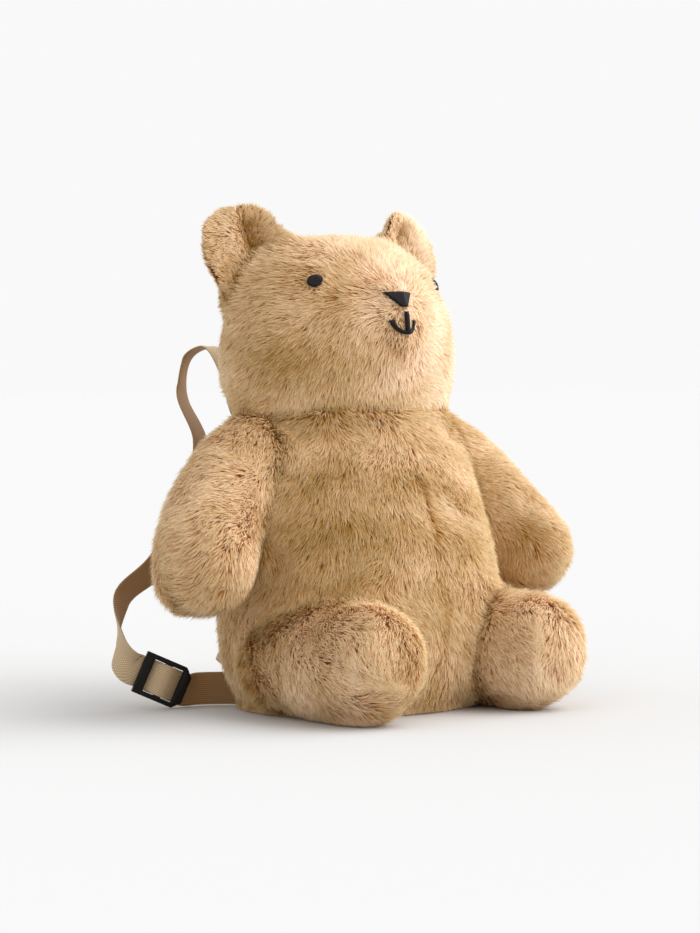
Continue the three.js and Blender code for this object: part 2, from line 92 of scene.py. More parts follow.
def add_node(tree, kind, inputs=None, **settings):
    made = tree.nodes.new(kind)
    for name, value in settings.items():
        setattr(made, name, value)
    for name, value in (inputs or {}).items():
        socket = made.inputs[name]
        if isinstance(value, bpy.types.NodeSocket):
            tree.links.new(value, socket)
        else:
            socket.default_value = value
    return made


def new_material(name):
    material = bpy.data.materials.new(name)
    material.use_nodes = True
    material.node_tree.nodes.clear()
    return material


def finish_material(tree, **inputs):
    named = {name.replace("_", " "): value for name, value in inputs.items()}
    surface = add_node(tree, "ShaderNodeBsdfPrincipled", named)
    add_node(tree, "ShaderNodeOutputMaterial", {"Surface": surface.outputs["BSDF"]})


def select_only(*objects):
    bpy.ops.object.select_all(action="DESELECT")
    for obj in objects:
        obj.select_set(True)
    bpy.context.view_layer.objects.active = objects[0]


def solid_of(part):
    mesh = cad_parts[part].data
    points = [v.co + Vector(stitching_shift.get(part, (0, 0, 0))) for v in mesh.vertices]
    return BVHTree.FromPolygons(points, [p.vertices[:] for p in mesh.polygons])


solids = {part: solid_of(part) for part in plush_parts + face_parts}


def nearest_on(parts, points):
    nearest = np.full(len(points), 1.0)
    towards = np.zeros((len(points), 3))
    for k, point in enumerate(points):
        for part in parts:
            found = solids[part].find_nearest(Vector(point), 0.03)
            if found[3] is not None and found[3] < nearest[k]:
                nearest[k] = found[3]
                towards[k] = found[0] - Vector(point)
    return nearest, towards


def distance_to(parts, points):
    return nearest_on(parts, points)[0]


def ramp(value, low, high):
    share = np.clip((value - low) / (high - low), 0, 1)
    return share * share * (3 - 2 * share)


# How far the backing lies under the outline: nothing at a seam and little round the stitching
def tuck_at(part, points, normals, tuck):
    neighbours = [other for other in plush_parts if other != part]
    by_seam = ramp(distance_to(neighbours, points), seam_edge, seam_reach)
    by_stitching = np.ones(len(points))
    if part == "head":
        by_stitching = ramp(distance_to(face_parts, points), stitch_edge, stitch_reach)
    on_floor = 1 - ramp(points[:, 2], seam_edge, seat_height)
    by_floor = 1 - on_floor * (normals[:, 2] < facing_down)
    least = stitch_pile_tuck / tuck
    return tuck * by_seam * by_floor * (least + (1 - least) * by_stitching)


def vertex_arrays(mesh):
    points = np.empty(len(mesh.vertices) * 3)
    normals = np.empty(len(mesh.vertices) * 3)
    mesh.vertices.foreach_get("co", points)
    mesh.vertices.foreach_get("normal", normals)
    return points.reshape(-1, 3), normals.reshape(-1, 3)


# Averages values over the neighbours on a mesh, in rounds
def evened(mesh, points, share, rounds):
    edges = np.empty(len(mesh.edges) * 2, dtype=np.int64)
    mesh.edges.foreach_get("vertices", edges)
    a, b = edges.reshape(-1, 2).T
    ends, others = np.concatenate([a, b]), np.concatenate([b, a])
    count = np.bincount(ends, minlength=len(points))[:, None]
    for _ in range(rounds):
        total = np.stack([np.bincount(ends, points[others, k], len(points)) for k in range(3)], 1)
        points = points + 0.5 * share * (total / count - points)
    return points


# Backing of one part, drawn in under its outline and pressed out by the filling. A part with a
# hollow middle is drawn in on its outer side alone.
def stuffed(part, tuck, voxel=backing_voxel, hollow_middle=None):
    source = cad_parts[part]
    pad = bpy.data.objects.new(f"{part}_backing", source.data.copy())
    bpy.context.scene.collection.objects.link(pad)
    pad.data.materials.clear()
    select_only(pad)
    bpy.ops.object.mode_set(mode="EDIT")
    bpy.ops.mesh.select_all(action="SELECT")
    bpy.ops.mesh.remove_doubles(threshold=0.01 * MM)
    bpy.ops.object.mode_set(mode="OBJECT")
    remesh = pad.modifiers.new("backing", "REMESH")
    remesh.mode = "VOXEL"
    remesh.voxel_size = voxel
    bpy.ops.object.modifier_apply(modifier=remesh.name)

    points, normals = vertex_arrays(pad.data)
    depth = tuck_at(part, points, normals, tuck)
    if hollow_middle is not None:
        outward = ((points - np.array(hollow_middle)) * normals).sum(1)
        depth = depth * (outward > 0)
    else:
        normals = unit(evened(pad.data, normals, 1.0, normal_rounds))
    share = (depth / tuck)[:, None]
    rounds = point_rounds if hollow_middle is None else hollow_point_rounds
    points = evened(pad.data, points - normals * depth[:, None], share, rounds)
    pad.data.vertices.foreach_set("co", points.ravel())
    pad.data.update()

    cloth = pad.modifiers.new("filling", "CLOTH")
    cloth.settings.quality = 4
    cloth.settings.use_pressure = True
    cloth.settings.uniform_pressure_force = 4
    cloth.settings.effector_weights.gravity = 0
    for step in range(1, 21):
        bpy.context.scene.frame_set(step)
    shown = pad.evaluated_get(bpy.context.evaluated_depsgraph_get())
    pressed = vertex_arrays(shown.data)[0]
    pad.modifiers.remove(cloth)
    bpy.context.scene.frame_set(1)
    move = pressed - points
    length = np.linalg.norm(move, axis=1, keepdims=True)
    move *= share * np.minimum(1, backing_swell / np.maximum(length, 1e-9))
    points = points + move
    points[:, 2] = np.maximum(points[:, 2], floor_clearance)
    pad.data.vertices.foreach_set("co", points.ravel())
    pad.data.update()
    return pad


# Smooth wandering field of unit size, made of a few waves with seeded directions
def wander(points, wavelength, seed):
    rng = np.random.default_rng(seed)
    total = np.zeros((len(points), 3))
    for _ in range(5):
        ways = rng.normal(size=(3, 3))
        ways /= np.linalg.norm(ways, axis=1, keepdims=True)
        turn = rng.uniform(0, 2 * math.pi, 3)
        total += np.sin(2 * math.pi / wavelength * rng.uniform(0.7, 1.4) * points @ ways.T + turn)
    return total / 5 ** 0.5


def unit(vectors):
    return vectors / np.maximum(np.linalg.norm(vectors, axis=1, keepdims=True), 1e-12)


# Means over the strands whose roots share a cell of a wandering grid, given back to each strand
def tuft_mean(roots, values, size, seed):
    cells = np.floor((roots + wander(roots, 3 * size, seed) * size * 0.5) / size).astype(np.int64)
    keys = cells @ np.array([1, 100003, 10000600009])
    _, which = np.unique(keys, return_inverse=True)
    count = np.bincount(which)
    return np.stack([np.bincount(which, values[:, k]) / count for k in range(3)], 1)[which]


# Strands: their size and number, and how they fill up along the seams
strand_width = 0.66 * MM
strands_per_square_mm = 2.0
pile_over_backing = 6.5 * MM
seam_pile_length = 10 * MM
seam_cover = 6 * MM
seam_bare = 0.45 * MM
seam_crowding = 0.6
by_stitching_share = 0.4

# Nap: how it wanders over long and short distances, how far a strand strays, and what share of
# it turns over a seam
long_wander, long_wander_share = 70 * MM, 0.4
short_wander, short_wander_share = 24 * MM, 0.28
stray = 0.4
seam_patch = 22 * MM
seam_crossing = 0.5
torso_seam_crossing = 0.15

# Leans of a strand's lower and upper lengths from upright, with their spreads, in degrees
low_share, low_lean, low_spread = 0.4, 42, 9
high_share, high_lean, high_spread = 0.65, 74, 13
least_lean, most_lean = 30, 92
seam_upright = 0.35

# Tufts, and how far they draw the tips and middles of their strands together
small_tuft, small_pull, middle_pull = 4.5 * MM, 0.34, 0.12
large_tuft, large_pull = 11 * MM, 0.1

# Shades of the dye in patches and from strand to strand, and painted shade in folds and along seams
large_patch, large_patch_shade = 34 * MM, 0.1
small_patch, small_patch_shade = 9 * MM, 0.05
fold_painted_shade = 0.65
seam_painted_shade = 0.2
strand_shade = 0.09


# Pile of one part: tapered strands that follow the nap, gathered into tufts by their tips
def pile(name, part, pad, flow, seed, length, tuck, keep=None, dip=None, density=strands_per_square_mm):
    rng = np.random.default_rng(seed)
    mesh = pad.data
    mesh.calc_loop_triangles()
    corners = np.empty(len(mesh.loop_triangles) * 3, dtype=np.int64)
    mesh.loop_triangles.foreach_get("vertices", corners)
    corners = corners.reshape(-1, 3)
    points, normals = vertex_arrays(mesh)
    depth = tuck_at(part, points, normals, tuck)
    to_seam, seam_way = nearest_on([p for p in plush_parts if p != part], points)
    grows = (to_seam > seam_bare).astype(float)
    grows *= 1 - (normals[:, 2] < -0.6) * (points[:, 2] < 2 * MM)
    grows *= 1 + seam_crowding * np.exp(-(to_seam / seam_cover) ** 2)
    if keep is not None:
        grows *= keep(points, normals)
    by_seam = seam_pile_length * (1 - ramp(to_seam, 0, seam_reach))
    reach = np.minimum(length, np.maximum(depth + pile_over_backing, by_seam))
    if part == "head":
        clear_of_stitching = ramp(distance_to(face_parts, points), stitch_edge, stitch_reach)
        reach *= by_stitching_share + (1 - by_stitching_share) * clear_of_stitching
    sunk = dip(points) if dip is not None else np.zeros(len(points))
    reach = reach * (1 - 0.5 * sunk)

    a, b, c = (points[corners[:, k]] for k in range(3))
    area = np.linalg.norm(np.cross(b - a, c - a), axis=1) / 2 * grows[corners].mean(1)
    count = int(area.sum() / MM ** 2 * density)
    face = rng.choice(len(area), count, p=area / area.sum())
    u, v = rng.random(count), rng.random(count)
    u, v = np.where(u + v > 1, 1 - u, u), np.where(u + v > 1, 1 - v, v)
    share = np.stack([1 - u - v, u, v], 1)[:, :, None]

    def on_face(values):
        return (values[corners[face]] * share).sum(1)

    roots = on_face(points)
    normal = unit(on_face(normals))
    size = on_face(reach[:, None])[:, 0] * rng.uniform(0.78, 1.12, count)

    nap = flow(roots) + long_wander_share * wander(roots, long_wander, seed + 1)
    nap = nap + short_wander_share * wander(roots, short_wander, seed + 2)
    nap = unit(nap - normal * (nap * normal).sum(1, keepdims=True))
    near_seam = np.exp(-(on_face(to_seam[:, None]) / seam_cover) ** 2)
    over_seam = tuft_mean(roots, unit(on_face(seam_way)), seam_patch, seed + 7)
    over_seam = unit(over_seam - normal * (over_seam * normal).sum(1, keepdims=True))
    crossing = near_seam * (torso_seam_crossing if part == "torso" else seam_crossing)
    nap = unit(nap * (1 - crossing) + over_seam * crossing)
    sideways = np.cross(normal, nap)
    nap = unit(nap + sideways * rng.normal(0, stray, count)[:, None])
    upright = 1 - seam_upright * near_seam
    low = np.radians(rng.normal(low_lean, low_spread, count))[:, None] * upright
    high = np.clip(rng.normal(high_lean, high_spread, count), least_lean, most_lean)
    high = np.radians(high)[:, None] * upright
    middles = roots + size[:, None] * low_share * (np.cos(low) * normal + np.sin(low) * nap)
    tips = middles + size[:, None] * high_share * (np.cos(high) * normal + np.sin(high) * nap)

    large = tuft_mean(roots, tips, large_tuft, seed + 3)
    small = tuft_mean(roots, tips, small_tuft, seed + 4)
    pull = np.minimum(1, size / length)[:, None]
    tips = tips + pull * (small_pull * (small - tips) + large_pull * (large - tips))
    middles = middles + pull * middle_pull * (small - middles)
    for rows in (middles, tips):
        rows[:, 2] = np.maximum(rows[:, 2], floor_clearance)

    along = unit(tips - roots)
    side = unit(np.cross(along, normal))
    twist = rng.normal(0, 0.5, count)[:, None]
    side = unit(np.cos(twist) * side + np.sin(twist) * np.cross(along, side))
    wide = side * strand_width / 2 * rng.uniform(0.75, 1.2, count)[:, None]
    places = np.stack([roots, middles - wide, middles + wide, tips], 1)
    first = np.arange(count)[:, None, None] * 4
    faces = (first + np.array([[0, 2, 1], [1, 2, 3]])).reshape(-1, 3)

    fur = bpy.data.meshes.new(name)
    fur.from_pydata(places.reshape(-1, 3), [], faces, shade_flat=False)
    own = unit(np.cross(along, side))
    own *= np.sign((own * normal).sum(1, keepdims=True))
    soft = unit(0.2 * own + 0.8 * normal)
    fur.normals_split_custom_set_from_vertices(np.repeat(soft, 4, axis=0))

    # Tint of each strand: random patches and strand to strand shades of the dye, painted shade in folds and along
    # seams, and the brush marks with their painted light and shade
    tone_and_painted_shade = large_patch_shade * wander(roots, large_patch, seed + 5)[:, 0]
    tone_and_painted_shade += small_patch_shade * wander(roots, small_patch, seed + 6)[:, 0]
    tone_and_painted_shade -= fold_painted_shade * on_face(sunk[:, None])[:, 0] + seam_painted_shade * near_seam[:, 0]
    # Brush marks: brushed pile, and painted light and shade
    for marked, x, y, z, radius, shade in brushed_and_painted_light_marks:
        if marked == part:
            away = np.linalg.norm(roots - np.array([x, y, z]) * MM, axis=1)
            tone_and_painted_shade -= shade * np.exp(-(away / (radius * MM)) ** 2)
    tint = np.clip(0.5 + tone_and_painted_shade + rng.normal(0, strand_shade, count), 0.02, 0.98)
    place = np.empty((count, 4, 2))
    place[:, :, 0] = tint[:, None] + np.array([0, -0.005, 0.005, 0])
    place[:, :, 1] = np.array([0.02, 0.5, 0.5, 0.98])
    layer = fur.uv_layers.new(name="OFBake")
    layer.data.foreach_set("uv", place.reshape(-1, 2)[faces.ravel()].ravel())
    fur.materials.append(plush_pile)
    obj = bpy.data.objects.new(name, fur)
    bpy.context.scene.collection.objects.link(obj)
    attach(obj, "root")
    return obj


def finish_backing(pad, part, smoothed=True):
    select_only(pad)
    if smoothed:
        subdivision = pad.modifiers.new("smooth", "SUBSURF")
        subdivision.levels = 1
        subdivision.render_levels = 1
        bpy.ops.object.modifier_apply(modifier=subdivision.name)
    bpy.ops.object.shade_smooth()
    pad.data.materials.append(plush_backing)
    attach(pad, "root")
    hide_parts(part)


# Acrylic faux fur, brushed: soft fibres, dyed beige, paler at their tips and warm brown down
# between them. Light from above passes through a fibre that is seen from below.
root_brown = "#9F6D3B"
shaft_tan = "#BE9465"
tip_beige = "#D8C19D"

plush_pile = new_material("acrylic faux fur pile")
tree = plush_pile.node_tree
strand_map = add_node(tree, "ShaderNodeUVMap", uv_map="OFBake")
strand = add_node(tree, "ShaderNodeSeparateXYZ", {"Vector": strand_map.outputs["UV"]})
along_strand = add_node(tree, "ShaderNodeValToRGB", {"Fac": strand.outputs["Y"]})
along_strand.color_ramp.elements[0].color = linear(root_brown)
along_strand.color_ramp.elements[0].position = 0.05
along_strand.color_ramp.elements[1].color = linear(tip_beige)
along_strand.color_ramp.elements[1].position = 0.9
along_strand.color_ramp.elements.new(0.48).color = linear(shaft_tan)
brightness = add_node(
    tree, "ShaderNodeMapRange",
    {"Value": strand.outputs["X"], "From Min": 0.0, "From Max": 1.0, "To Min": 0.62, "To Max": 1.38},
)
# Painted shade: the darker a strand's tint, the more saturated it is made, as fur looks where light bounces inside it
# in shade
shade_saturation = add_node(
    tree, "ShaderNodeMapRange",
    {"Value": strand.outputs["X"], "From Min": 0.0, "From Max": 1.0, "To Min": 1.4, "To Max": 0.74},
)
dyed = add_node(
    tree, "ShaderNodeHueSaturation",
    {"Color": along_strand.outputs["Color"], "Value": brightness.outputs["Result"],
     "Saturation": shade_saturation.outputs["Result"]},
)
coat = add_node(
    tree, "ShaderNodeBsdfPrincipled",
    {"Base Color": dyed.outputs["Color"], "Roughness": 0.7, "Specular IOR Level": 0.25,
     "Sheen Weight": 0.25, "Sheen Roughness": 0.4, "Sheen Tint": linear("#FFEBD0")},
)
glow = add_node(tree, "ShaderNodeBsdfTranslucent", {"Color": dyed.outputs["Color"]})
side = add_node(tree, "ShaderNodeNewGeometry")
fibre = add_node(tree, "ShaderNodeMixShader", {0: side.outputs["Backfacing"], 1: coat.outputs[0], 2: glow.outputs[0]})
add_node(tree, "ShaderNodeOutputMaterial", {"Surface": fibre.outputs[0]})

# Knitted backing of the pile, dyed darker, which shows only down between the tufts
plush_backing = new_material("knitted polyester backing")
tree = plush_backing.node_tree
where = add_node(tree, "ShaderNodeTexCoord")
loops = add_node(
    tree, "ShaderNodeTexNoise", {"Vector": where.outputs["Object"], "Scale": 1 / (1.5 * MM), "Detail": 2.0}
)
knit = add_node(tree, "ShaderNodeValToRGB", {"Fac": loops.outputs["Fac"]})
knit.color_ramp.elements[0].color = linear("#A27A4E")
knit.color_ramp.elements[1].color = linear("#B89062")
finish_material(tree, Base_Color=knit.outputs["Color"], Roughness=0.95, Specular_IOR_Level=0.1)

# Torso: a padded pouch with a long zip slot down its back. The pile runs down it and wanders
# where the plush was brushed.
torso_voxel = 4 * MM
torso_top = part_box("torso")[1][2]
torso_middle = (0, 0, 0.45 * torso_top)
torso_backing = stuffed("torso", pile_tuck, voxel=torso_voxel, hollow_middle=torso_middle)

# Front seam: it starts and ends softly, between these shares of the torso's height. The pile is shorter along it and
# painted in shade there.
front_seam_width = 2.4 * MM
front_seam_depth = 0.35
front_seam_start = (0.04, 0.14)
front_seam_end = (0.72, 0.86)


def outside_torso(points, normals):
    return (((points - np.array(torso_middle)) * normals).sum(1) > 2 * MM).astype(float)


def by_front_seam(points, half_width):
    height = points[:, 2] / torso_top
    seam_run = ramp(height, *front_seam_start) * (1 - ramp(height, *front_seam_end))
    across_seam = np.exp(-(points[:, 0] / half_width) ** 2)
    return front_seam_depth * across_seam * seam_run * (points[:, 1] < 0)


def front_seam(points):
    return by_front_seam(points, front_seam_width)


def down(points):
    parted = np.sign(points[:, 0]) * by_front_seam(points, 4 * front_seam_width)
    outward = unit(points * [1, 1, 0])
    return 0.4 * outward + np.stack([parted, 0 * parted, -0.9 + 0.3 * parted ** 2], 1)


for half, sign in (("front", -1), ("back", 1)):
    pile(
        f"torso_pile_{half}", "torso", torso_backing, down, 11 + sign, pile_length, pile_tuck,
        keep=lambda points, normals, sign=sign: outside_torso(points, normals) * (sign * points[:, 1] > 0),
        dip=front_seam,
    )
finish_backing(torso_backing, "torso", smoothed=False)

# Head: two cheeks and a gusset over the crown, sewn with a seam down the middle of the face.
# The pile runs from the nose over the cheeks and brow to the back.
head_strands_per_square_mm = 1.9
head_backing = stuffed("head", pile_tuck)
nose_low, nose_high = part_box("nose")
nose_middle = np.array([0, nose_low[1], (nose_low[2] + nose_high[2]) / 2])


def away_from_nose(points):
    return unit(points - nose_middle) * 0.9 + np.array([0, 0.1, -0.25])


pile(
    "head_pile", "head", head_backing, away_from_nose, 21, pile_length, pile_tuck,
    density=head_strands_per_square_mm,
)
finish_backing(head_backing, "head")

# Ears: two layers of plush turned out, cupped and folded once down the middle, where the pile parts and the
# fold lies in shade, deepened with painted shade on its pile. The pile runs from the fold and the root to the edge.
ear_pile_length = 8 * MM
ear_pile_tuck = 3.5 * MM
ear_voxel = 2.6 * MM
ear_strands_per_square_mm = 3.0
ear_aside, ear_behind, ear_seat_height = 49.8, 32, 250.36
ear_tilt = math.radians(26)
ear_turn = math.radians(10)
fold_depth = 7 * MM
fold_half_width = 5.5 * MM
fold_low = 6 * MM
fold_high = 46 * MM
fold_inward = 8 * MM

for name, sign in (("ear_right", -1), ("ear_left", 1)):
    seat = Vector((sign * ear_aside, ear_behind, ear_seat_height)) * MM
    stand = Matrix.Rotation(sign * ear_turn, 3, "Z") @ Matrix.Rotation(sign * ear_tilt, 3, "Y")
    ear_side, ear_front, ear_up = (np.array(stand @ Vector(way)) for way in ((1, 0, 0), (0, -1, 0), (0, 0, 1)))

    def in_fold(points):
        from_seat = points - np.array(seat)
        height = from_seat @ ear_up
        ends = ramp(height, fold_low, 3 * fold_low) * (1 - ramp(height, fold_high - fold_low, fold_high + fold_low))
        before = ramp(from_seat @ ear_front, -4 * MM, 2 * MM)
        aside = from_seat @ ear_side + sign * fold_inward
        return np.exp(-(aside / fold_half_width) ** 2) * ends * before

    def from_fold(points):
        from_seat = points - np.array(seat)
        aside = np.sign(from_seat @ ear_side + sign * fold_inward)[:, None] * ear_side
        return unit(0.9 * aside + 0.6 * ear_up + 0.4 * unit(from_seat))

    ear_backing = stuffed(name, ear_pile_tuck, voxel=ear_voxel)
    points, normals = vertex_arrays(ear_backing.data)
    facing = ramp(normals @ ear_front, -0.2, 0.4)
    points = points - ear_front * (fold_depth * in_fold(points) * facing)[:, None]
    ear_backing.data.vertices.foreach_set("co", points.ravel())
    ear_backing.data.update()
    pile(
        f"{name}_pile", name, ear_backing, from_fold, 33 + sign, ear_pile_length, ear_pile_tuck,
        dip=in_fold, density=ear_strands_per_square_mm,
    )
    finish_backing(ear_backing, name)

# Arms and legs: stuffed tubes, sewn on at the shoulder and the hip, with the pile running to
# the paws
for name, way, seed in (
    ("arm_right", (-0.8, -0.15, -0.6), 41), ("arm_left", (0.8, -0.15, -0.6), 42),
    ("leg_right", (-0.1, -0.8, -0.5), 43), ("leg_left", (0.1, -0.8, -0.5), 44),
):
    limb_backing = stuffed(name, pile_tuck)
    pile(
        f"{name}_pile", name, limb_backing, lambda points: np.tile(way, (len(points), 1)) * 0.9,
        seed, pile_length, pile_tuck,
    )
    finish_backing(limb_backing, name)

# Face: eyes, nose and mouth embroidered in satin stitch with thick black rayon thread. Each
# stitch lies over the shape from edge to edge, and the ends go down into the plush.
thread_pitch = 0.55 * MM
thread_radius = 0.38 * MM
thread_sides = 6
scan_step = 0.3 * MM
scan_margin = 1 * MM
scan_reach = 50 * MM

embroidery = new_material("black rayon embroidery thread")
tree = embroidery.node_tree
where = add_node(tree, "ShaderNodeTexCoord")
twist = add_node(
    tree, "ShaderNodeTexNoise", {"Vector": where.outputs["Object"], "Scale": 1 / (0.8 * MM), "Detail": 3.0}
)
shade = add_node(tree, "ShaderNodeValToRGB", {"Fac": twist.outputs["Fac"]})
shade.color_ramp.elements[0].color = linear("#080606")
shade.color_ramp.elements[1].color = linear("#1A1515")
finish_material(tree, Base_Color=shade.outputs["Color"], Roughness=0.5, Specular_IOR_Level=0.2)


# Embroidery of one part that faces the given turn: its solid as the ground, with a thread laid
# wherever a line of rays meets it
def satin_stitched(part, turn):
    outward = Vector((math.sin(turn), -math.cos(turn), 0))
    across = Vector((math.cos(turn), math.sin(turn), 0))
    low, high = (Vector(corner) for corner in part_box(part))
    middle = (low + high) / 2
    half = max((high - low).x, (high - low).y) / 2 + scan_margin
    rise = (high - low).z / 2 + scan_margin
    shift = Vector(stitching_shift.get(part, (0, 0, 0)))
    middle += shift
    points, faces = [], []
    for column in np.arange(-half, half, thread_pitch):
        hits = []
        for level in np.arange(-rise, rise, scan_step):
            start = middle + across * column + Vector((0, 0, level)) + outward * scan_reach
            hit = solids[part].ray_cast(start, -outward, 2 * scan_reach)
            if hit[0] is None:
                if len(hits) > 2:
                    stitch(points, faces, hits, across, outward)
                hits = []
            else:
                hits.append(hit[0])
    base = bpy.data.objects.new(f"{part}_stitching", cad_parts[part].data.copy())
    base.data.materials.clear()
    base.data.transform(Matrix.Translation(shift))
    bpy.context.scene.collection.objects.link(base)
    select_only(base)
    bpy.ops.object.mode_set(mode="EDIT")
    bpy.ops.mesh.select_all(action="SELECT")
    bpy.ops.mesh.remove_doubles(threshold=0.01 * MM)
    bpy.ops.object.mode_set(mode="OBJECT")
    threads = bpy.data.meshes.new("threads")
    threads.from_pydata(points, [], faces)
    laid = bpy.data.objects.new("threads", threads)
    bpy.context.scene.collection.objects.link(laid)
    select_only(base, laid)
    bpy.ops.object.join()
    base.data.materials.append(embroidery)
    select_only(base)
    bpy.ops.object.shade_smooth_by_angle(angle=math.radians(50))
    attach(base, "root")
    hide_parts(part)


# One thread: a round-topped closed strip whose ends dip by its own thickness
def stitch(points, faces, hits, across, outward):
    picked = [hits[round(k)] for k in np.linspace(0, len(hits) - 1, max(4, min(9, len(hits) // 3)))]
    first = len(points)
    for k, centre in enumerate(picked):
        dip = 1.2 * thread_radius if k in (0, len(picked) - 1) else 0
        radius = thread_radius * (0.6 if dip else 1)
        for s in range(thread_sides):
            angle = 2 * math.pi * s / thread_sides
            offset = across * math.cos(angle) * radius + outward * (math.sin(angle) * radius - dip)
            points.append(centre + offset)
    for k in range(len(picked) - 1):
        for s in range(thread_sides):
            a = first + k * thread_sides + s
            b = first + k * thread_sides + (s + 1) % thread_sides
            faces.append((a, b, b + thread_sides, a + thread_sides))
    faces.append(tuple(first + s for s in reversed(range(thread_sides))))
    faces.append(tuple(first + (len(picked) - 1) * thread_sides + s for s in range(thread_sides)))


eye_turn = math.radians(55)
satin_stitched("eye_right", -eye_turn)
satin_stitched("eye_left", eye_turn)
satin_stitched("nose", 0)
satin_stitched("mouth", 0)

# Shoulder straps: 20 mm polypropylene webbing, woven with ribs along its length, sewn in at
# the nape and the bottom seam. Each weaves under the ends and over the bar of its adjuster.
webbing_width = 20 * MM
webbing_thickness = 1.6 * MM
webbing_slack = 0.5 * MM
gap = 0.3 * MM
rib_count = 16
rib_rise = 0.2 * MM
points_per_rib = 2
pick_spacing = 1.3 * MM
edge_taper = 14
steps_per_row = 9
adjuster_length = 32 * MM
adjuster_thickness = 3.2 * MM
adjuster_rail = 3 * MM
adjuster_end_bar = 6 * MM
adjuster_middle_bar = 4 * MM
adjuster_corner = 5 * MM
torso_half_width = 95 * MM
torso_back = 68 * MM
torso_height = 203 * MM

# Rows: place to the side, behind and up, in shares of the torso, then the lean of the width
right_upper_route = [
    (-0.36, 0.5, 0.79, 1, 0, 0), (-0.36, 0.97, 0.87, 1, 0, 0), (-0.35, 1.24, 1.01, 0.95, 0.3, 0),
    (-0.36, 1.51, 1.09, 0.85, 0.5, 0), (-0.4, 1.78, 1.06, 0.8, 0.6, 0), (-0.45, 1.78, 0.95, 0.8, 0.6, 0),
    (-0.53, 1.35, 0.79, 0.85, 0.5, 0), (-0.69, 1.21, 0.6, 1, 0.2, 0), (-0.93, 1.24, 0.43, 1, 0.15, 0),
    (-1.24, 1.22, 0.325, 0.9, 0.4, -0.1), (-1.33, 1.06, 0.2, 0.3, 0.8, -0.5),
]
right_lower_route = [(-0.84, 0.82), (-0.65, 0.68), (-0.46, 0.38)]
left_upper_route = [
    (0.36, 0.5, 0.79, 1, 0, 0), (0.36, 0.97, 0.87, 1, 0, 0), (0.36, 1.26, 0.975, 1, 0, 0),
    (0.4, 1.59, 0.965, 1, 0, 0), (0.46, 1.62, 0.79, 1, 0, 0), (0.505, 1.62, 0.55, 1, 0.1, -0.1),
    (0.44, 1.82, 0.365, 0.9, 0.1, -0.3), (0.27, 2, 0.217, 0.6, 0.1, -0.7),
]
left_lower_route = [(0.36, 1.35), (0.505, 0.94), (0.46, 0.38)]

webbing = new_material("woven polypropylene webbing")
tree = webbing.node_tree
weave_map = add_node(tree, "ShaderNodeUVMap", uv_map="Weave")
weave = add_node(tree, "ShaderNodeSeparateXYZ", {"Vector": weave_map.outputs["UV"]})
rib_wave = add_node(tree, "ShaderNodeMath", {0: weave.outputs["X"], 1: 2 * math.pi}, operation="MULTIPLY")
rib_height = add_node(tree, "ShaderNodeMath", {0: rib_wave.outputs[0]}, operation="COSINE")
pick_shift = add_node(tree, "ShaderNodeMath", {0: weave.outputs["X"], 1: 0.5}, operation="MULTIPLY")
pick_place = add_node(
    tree, "ShaderNodeMath", {0: weave.outputs["Y"], 1: pick_shift.outputs[0]}, operation="ADD"
)
pick_wave = add_node(tree, "ShaderNodeMath", {0: pick_place.outputs[0], 1: 2 * math.pi}, operation="MULTIPLY")
pick_height = add_node(tree, "ShaderNodeMath", {0: pick_wave.outputs[0]}, operation="SINE")
yarn_height = add_node(
    tree, "ShaderNodeMath", {0: rib_height.outputs[0], 1: pick_height.outputs[0]}, operation="SUBTRACT"
)
yarn_share = add_node(
    tree, "ShaderNodeMapRange",
    {"Value": yarn_height.outputs[0], "From Min": -2.0, "From Max": 2.0, "To Min": 0.0, "To Max": 1.0},
)
outer_yarn = add_node(tree, "ShaderNodeValToRGB", {"Fac": yarn_share.outputs["Result"]})
outer_yarn.color_ramp.elements[0].color = linear("#D9C29E")
outer_yarn.color_ramp.elements[1].color = linear("#9C7F5B")
# Inner face: a darker brown weave, made darker still as painted shade
inner_yarn_and_shade = add_node(tree, "ShaderNodeValToRGB", {"Fac": yarn_share.outputs["Result"]})
inner_yarn_and_shade.color_ramp.elements[0].color = linear("#B28C5B")
inner_yarn_and_shade.color_ramp.elements[1].color = linear("#76542F")
on_inner = add_node(tree, "ShaderNodeMath", {0: weave.outputs["X"], 1: 1.5 * rib_count}, operation="GREATER_THAN")
yarn = add_node(
    tree, "ShaderNodeMix",
    {0: on_inner.outputs[0], 6: outer_yarn.outputs["Color"], 7: inner_yarn_and_shade.outputs["Color"]},
    data_type="RGBA",
)
raised = add_node(
    tree, "ShaderNodeBump",
    {"Height": yarn_share.outputs["Result"], "Strength": 0.4, "Distance": 0.2 * MM}, invert=True,
)
finish_material(
    tree, Base_Color=yarn.outputs[2], Roughness=0.72, Sheen_Weight=0.1, Normal=raised.outputs["Normal"]
)

half_length = adjuster_length / 2
half_height = webbing_width / 2 + gap + adjuster_rail


# Middle and three directions of an adjuster that lies on the floor, as the solid's are
def adjuster_place(side, rear, turn, tilt):
    turn, tilt = math.radians(turn), math.radians(tilt)
    height = (half_length - adjuster_corner) * math.sin(abs(tilt)) + half_height * math.cos(tilt) + gap
    along = Vector((math.cos(turn) * math.cos(tilt), math.sin(turn) * math.cos(tilt), math.sin(tilt)))
    out = Vector((math.sin(turn), -math.cos(turn), 0))
    middle = Vector((side * torso_half_width, rear * torso_back, height))
    return middle, along, out, out.cross(along)


